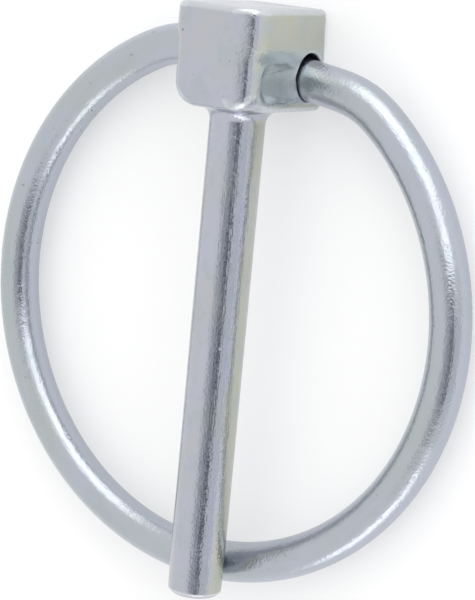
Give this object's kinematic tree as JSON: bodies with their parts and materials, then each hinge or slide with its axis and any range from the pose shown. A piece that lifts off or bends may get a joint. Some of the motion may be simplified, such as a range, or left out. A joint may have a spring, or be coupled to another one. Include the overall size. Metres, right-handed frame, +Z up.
{
  "type": "lynch pin",
  "caption": "Forged locking pin with a block head and a round shaft; an open spring-wire ring hinged in the head's slanted cross hole swings round and closes against the shaft.",
  "frame": {"origin": "under the middle of the closed pin's bounding box, on the surface that it lies on", "axes": "+Y up the shaft towards the head, +X across the head, +Z up, out of the pin's front face"},
  "size_m": [0.0472, 0.0486, 0.0107],
  "materials": {
    "plated_forging": "bright zinc plate over a forged, slightly uneven skin",
    "plated_wire": "bright zinc plate on drawn spring wire, with small scuffs"
  },
  "bodies": {
    "pin": {"pin": "plated_forging"},
    "ring": {"ring": "plated_wire"}
  },
  "joints": [
    {"name": "ring_swing", "type": "hinge", "parent": "pin", "child": "ring", "pos_m": [0.00274, 0.0192, 0.00219], "axis": [0.9905, -0.1374, 0], "range_deg": [0, 345]}
  ]
}
